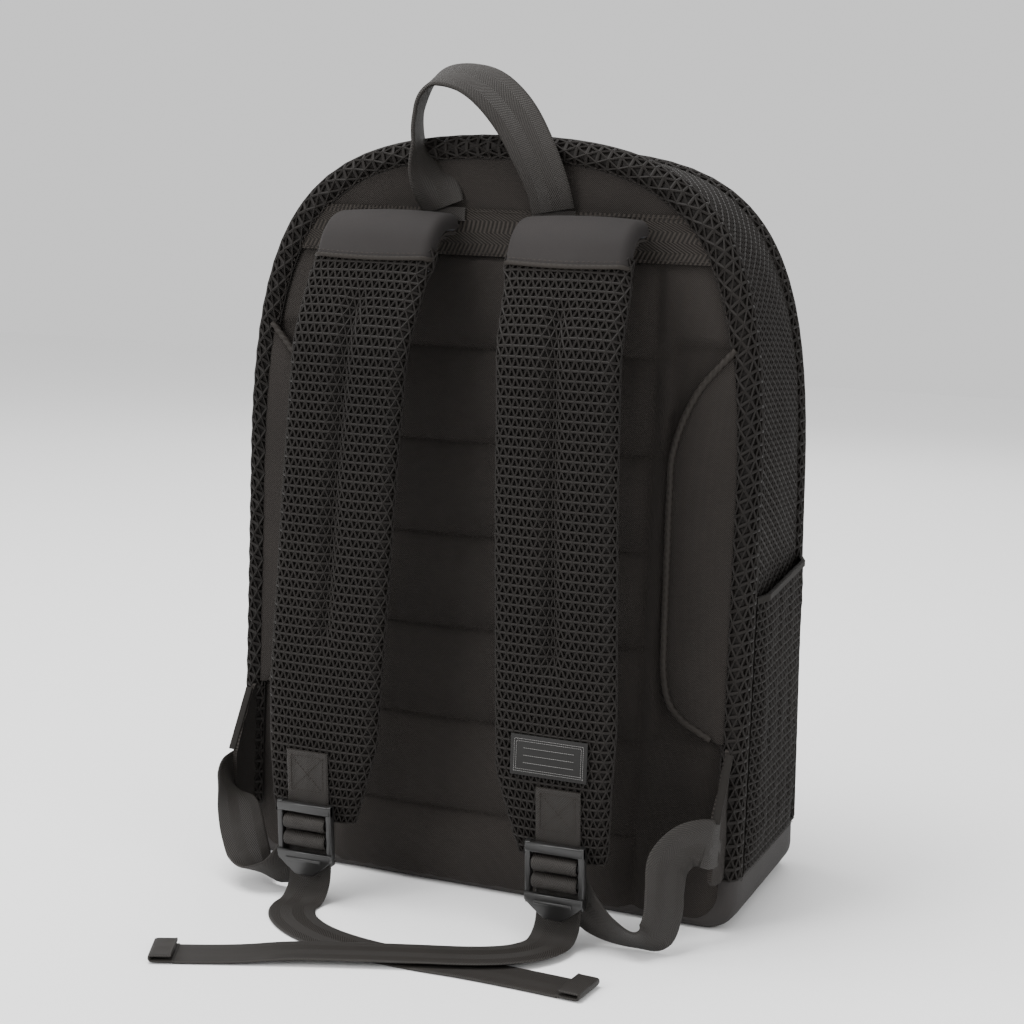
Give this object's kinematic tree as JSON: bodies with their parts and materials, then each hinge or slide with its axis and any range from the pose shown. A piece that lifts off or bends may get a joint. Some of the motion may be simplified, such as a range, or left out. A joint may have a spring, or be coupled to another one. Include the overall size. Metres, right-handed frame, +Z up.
{
  "type": "school backpack",
  "caption": "Arched mesh-sided daypack with quilted back, padded shoulder straps with ladder-lock buckles, carry handle, side pockets and a zipped front flap.",
  "frame": {"origin": "centre of the base, on the floor", "axes": "+Z up, +Y towards the wearer (shoulder-strap side), -Y the zipped front, +X the wearer's right"},
  "size_m": [0.3194, 0.3419, 0.4727],
  "materials": {
    "gusset_mesh": "open knitted mesh, matte",
    "rim_mesh": "padded open mesh, matte",
    "quilt_mesh": "quilted cloth, matte",
    "twill_cloth": "twill weave, matte",
    "boot_cloth": "coated plain weave, satin",
    "webbing_cloth": "ribbed webbing, satin",
    "binding": "elastic binding, matte",
    "piping_cord": "twisted cord, satin",
    "lining": "plain weave lining, matte",
    "board": "stiffener sheet",
    "foam": "foam padding wrapped in mesh",
    "label_cloth": "blank woven label",
    "zip_tape": "zip tape with coil",
    "zip_metal": "black painted slider",
    "pull_rubber": "moulded pull",
    "buckle_plastic": "moulded acetal, fine texture"
  },
  "bodies": {
    "pack": {"gusset": "gusset_mesh", "base_boot": "boot_cloth", "base_board": "board", "rear_rim": "rim_mesh", "front_rim": "rim_mesh", "back_panel": "quilt_mesh", "anchor_band": "webbing_cloth", "yoke_panel": "twill_cloth", "back_stiffener": "board", "side_panel_left": "twill_cloth", "side_panel_right": "twill_cloth", "side_piping_left": "piping_cord", "side_piping_right": "piping_cord", "laptop_sleeve": "lining", "front_frame": "twill_cloth", "main_zip_tape": "zip_tape", "lower_front": "twill_cloth", "side_pocket_left": "gusset_mesh", "side_pocket_right": "gusset_mesh", "pocket_binding_left": "binding", "pocket_binding_right": "binding", "wing_left": "twill_cloth", "wing_right": "twill_cloth", "adjuster_left": "webbing_cloth", "adjuster_right": "webbing_cloth", "tail_left": "webbing_cloth", "tail_right": "webbing_cloth", "tail_hem_left": "webbing_cloth", "tail_hem_right": "webbing_cloth"},
    "handle": {"carry_handle": "webbing_cloth"},
    "front_flap": {"flap_panel": "twill_cloth", "flap_zip_tape": "zip_tape", "front_pocket": "twill_cloth", "pocket_zip_tape": "zip_tape"},
    "strap_left": {"strap_pad_left": "foam", "strap_mesh_left": "rim_mesh", "strap_backing_left": "twill_cloth", "strap_cap_left": "twill_cloth", "strap_patch_left": "twill_cloth", "strap_root_left": "webbing_cloth", "buckle_tab_left": "webbing_cloth", "ladder_lock_left": "buckle_plastic", "webbing_wrap_left": "webbing_cloth", "strap_label": "label_cloth"},
    "strap_right": {"strap_pad_right": "foam", "strap_mesh_right": "rim_mesh", "strap_backing_right": "twill_cloth", "strap_cap_right": "twill_cloth", "strap_patch_right": "twill_cloth", "strap_root_right": "webbing_cloth", "buckle_tab_right": "webbing_cloth", "ladder_lock_right": "buckle_plastic", "webbing_wrap_right": "webbing_cloth"},
    "main_zip_left_slider": {"main_zip_left_slider": "zip_metal"},
    "main_zip_left_pull": {"main_zip_left_pull": "pull_rubber"},
    "main_zip_right_slider": {"main_zip_right_slider": "zip_metal"},
    "main_zip_right_pull": {"main_zip_right_pull": "pull_rubber"},
    "pocket_zip_slider": {"pocket_zip_slider": "zip_metal"},
    "pocket_zip_pull": {"pocket_zip_pull": "pull_rubber"}
  },
  "joints": [
    {"name": "handle_tilt", "type": "hinge", "parent": "pack", "child": "handle", "pos_m": [0, 0.0778, 0.3913], "axis": [1, 0, 0], "range_deg": [-50, 2]},
    {"name": "strap_left_swing", "type": "hinge", "parent": "pack", "child": "strap_left", "pos_m": [0, 0.0775, 0.381], "axis": [1, 0, 0], "range_deg": [-2, 10], "deforming": ["adjuster_left", "tail_left", "tail_hem_left"]},
    {"name": "strap_right_swing", "type": "hinge", "parent": "pack", "child": "strap_right", "pos_m": [0, 0.0775, 0.381], "axis": [1, 0, 0], "range_deg": [-2, 10], "deforming": ["adjuster_right", "tail_right", "tail_hem_right"]},
    {"name": "flap_open", "type": "hinge", "parent": "pack", "child": "front_flap", "pos_m": [0, -0.06112, 0.09451], "axis": [1, 0, 0], "range_deg": [0, 80]},
    {"name": "main_zip_left_slide", "type": "slide", "parent": "front_flap", "child": "main_zip_left_slider", "axis": [1, 0, 0], "range_m": [-0.035, 0]},
    {"name": "main_zip_left_pull_swing", "type": "hinge", "parent": "main_zip_left_slider", "child": "main_zip_left_pull", "pos_m": [-0.009, -0.0418, 0.39554], "axis": [1, 0, 0], "range_deg": [-90, 0]},
    {"name": "main_zip_right_slide", "type": "slide", "parent": "front_flap", "child": "main_zip_right_slider", "axis": [1, 0, 0], "range_m": [0, 0.035]},
    {"name": "main_zip_right_pull_swing", "type": "hinge", "parent": "main_zip_right_slider", "child": "main_zip_right_pull", "pos_m": [0.009, -0.0418, 0.39554], "axis": [1, 0, 0], "range_deg": [-90, 0]},
    {"name": "pocket_zip_slide", "type": "slide", "parent": "front_flap", "child": "pocket_zip_slider", "axis": [1, 0, 0], "range_m": [0, 0.14]},
    {"name": "pocket_zip_pull_swing", "type": "hinge", "parent": "pocket_zip_slider", "child": "pocket_zip_pull", "pos_m": [-0.07, -0.06949, 0.2969], "axis": [1, 0, 0], "range_deg": [-90, 0]}
  ]
}
